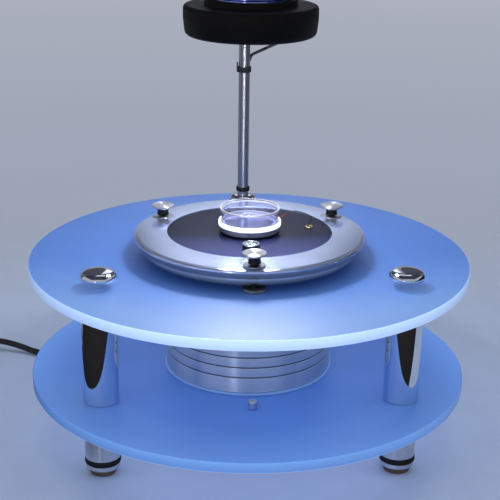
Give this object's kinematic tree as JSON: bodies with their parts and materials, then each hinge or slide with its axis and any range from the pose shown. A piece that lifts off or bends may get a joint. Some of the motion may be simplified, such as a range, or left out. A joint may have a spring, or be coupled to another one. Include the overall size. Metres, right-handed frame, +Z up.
{
  "type": "orbital shaker",
  "caption": "Orbital shaker stand for one small dish: blue acrylic plates on chrome legs, a motor drum between them, a round levelling stage, and a height-adjustable lit head on a rear post.",
  "frame": {"origin": "on the table, below the motor axis and the centre of both plates", "axes": "+Z up along the motor axis, -Y to the front, +Y to the rear leg with the post, +X to the right as seen from the front"},
  "size_m": [0.6244, 0.44, 0.4883],
  "materials": {
    "blue_acrylic": "satin, lit from below, edges glow pale",
    "chrome": "mirror polished",
    "turned_aluminium": "turned and polished",
    "brushed_steel": "brushed",
    "black_rubber": "matte",
    "brown_rubber": "matte",
    "pale_glow_ring": "glows softly",
    "black_anodised": "satin black",
    "dark_polished_metal": "dark and polished",
    "lit_diffuser": "lit from inside",
    "clear_dish": "clear",
    "brass": "polished",
    "black_cable": "satin",
    "black_cord": "satin",
    "plug_plastic": "satin",
    "motor_steel": "machined",
    "level_vial": "clear"
  },
  "bodies": {
    "base": {"lower_plate": "blue_acrylic", "upper_plate": "blue_acrylic", "leg_column_left": "chrome", "leg_column_right": "chrome", "leg_column_rear": "chrome", "leg_cap_left": "chrome", "leg_cap_right": "chrome", "post_socket": "chrome", "foot_left": "brushed_steel", "foot_band_left": "black_rubber", "foot_pad_left": "brown_rubber", "foot_right": "brushed_steel", "foot_band_right": "black_rubber", "foot_pad_right": "brown_rubber", "foot_rear": "brushed_steel", "foot_band_rear": "black_rubber", "foot_pad_rear": "brown_rubber", "drum_shell": "turned_aluminium", "drum_base_ring": "pale_glow_ring", "drum_peg_front": "brushed_steel", "drum_peg_right": "brushed_steel", "drum_peg_left": "brushed_steel", "motor_body": "motor_steel", "drum_bottom_cover": "black_anodised", "cable_gland": "black_cord", "power_cord": "black_cord", "cord_coil": "black_cord", "coil_tie": "black_rubber", "cord_plug": "plug_plastic", "post": "chrome", "cable_band_lower": "black_rubber", "cable_band_upper": "black_rubber", "head_cable_run": "black_cable", "head_cable_free": "black_cable", "level_foot_front": "black_anodised", "level_foot_right": "black_anodised", "level_foot_left": "black_anodised"},
    "rotor": {"motor_shaft": "motor_steel"},
    "stage": {"stage_platter": "turned_aluminium", "well_disc": "black_anodised", "level_bush_front": "brushed_steel", "level_bush_right": "brushed_steel", "level_bush_left": "brushed_steel", "spirit_level_case": "chrome", "spirit_level_vial": "level_vial", "wire_ferrule": "brass", "crank_bearing": "dark_polished_metal"},
    "crank": {"eccentric_shaft": "motor_steel"},
    "carrier": {"dish_carrier": "dark_polished_metal", "light_ring": "lit_diffuser", "dish": "clear_dish", "lamp_wire": "black_cable"},
    "head": {"head_housing": "black_anodised", "head_barrel": "turned_aluminium", "head_window": "lit_diffuser", "head_bracket": "black_anodised"},
    "clamp": {"clamp_screw": "brushed_steel"},
    "level_screw_front": {"level_screw_front": "turned_aluminium"},
    "level_screw_right": {"level_screw_right": "turned_aluminium"},
    "level_screw_left": {"level_screw_left": "turned_aluminium"}
  },
  "joints": [
    {"name": "motor_spin", "type": "hinge", "parent": "base", "child": "rotor", "pos_m": [0, 0, 0.13], "axis": [0, 0, 1], "continuous": true},
    {"name": "stage_rise", "type": "slide", "parent": "base", "child": "stage", "axis": [0, 0, 1], "range_m": [-0.00125, 0.00125]},
    {"name": "crank_spin", "type": "hinge", "parent": "stage", "child": "crank", "pos_m": [0, 0, 0.2183], "axis": [0, 0, 1], "continuous": true},
    {"name": "carrier_orbit", "type": "hinge", "parent": "crank", "child": "carrier", "pos_m": [0, 0.0015, 0.2199], "axis": [0, 0, 1], "continuous": true},
    {"name": "head_height", "type": "slide", "parent": "base", "child": "head", "axis": [0, 0, 1], "range_m": [-0.045, 0.02], "deforming": ["head_cable_free"]},
    {"name": "clamp_turn", "type": "hinge", "parent": "head", "child": "clamp", "pos_m": [0, 0.1708, 0.4323], "axis": [0, 1, 0], "range_deg": [0, 360]},
    {"name": "level_turn_front", "type": "hinge", "parent": "base", "child": "level_screw_front", "pos_m": [0, -0.1011, 0.1933], "axis": [0, 0, 1], "range_deg": [-365, 365]},
    {"name": "level_turn_right", "type": "hinge", "parent": "base", "child": "level_screw_right", "pos_m": [0.08755, 0.05055, 0.1933], "axis": [0, 0, 1], "range_deg": [-365, 365]},
    {"name": "level_turn_left", "type": "hinge", "parent": "base", "child": "level_screw_left", "pos_m": [-0.08755, 0.05055, 0.1933], "axis": [0, 0, 1], "range_deg": [-365, 365]}
  ],
  "couplings": [
    {"joint": "crank_spin", "follows": "motor_spin", "ratio": 1},
    {"joint": "carrier_orbit", "follows": "motor_spin", "ratio": -1},
    {"joint": "level_turn_front", "follows": "stage_rise", "rad_per_m": -5026.5},
    {"joint": "level_turn_right", "follows": "stage_rise", "rad_per_m": -5026.5},
    {"joint": "level_turn_left", "follows": "stage_rise", "rad_per_m": -5026.5}
  ]
}
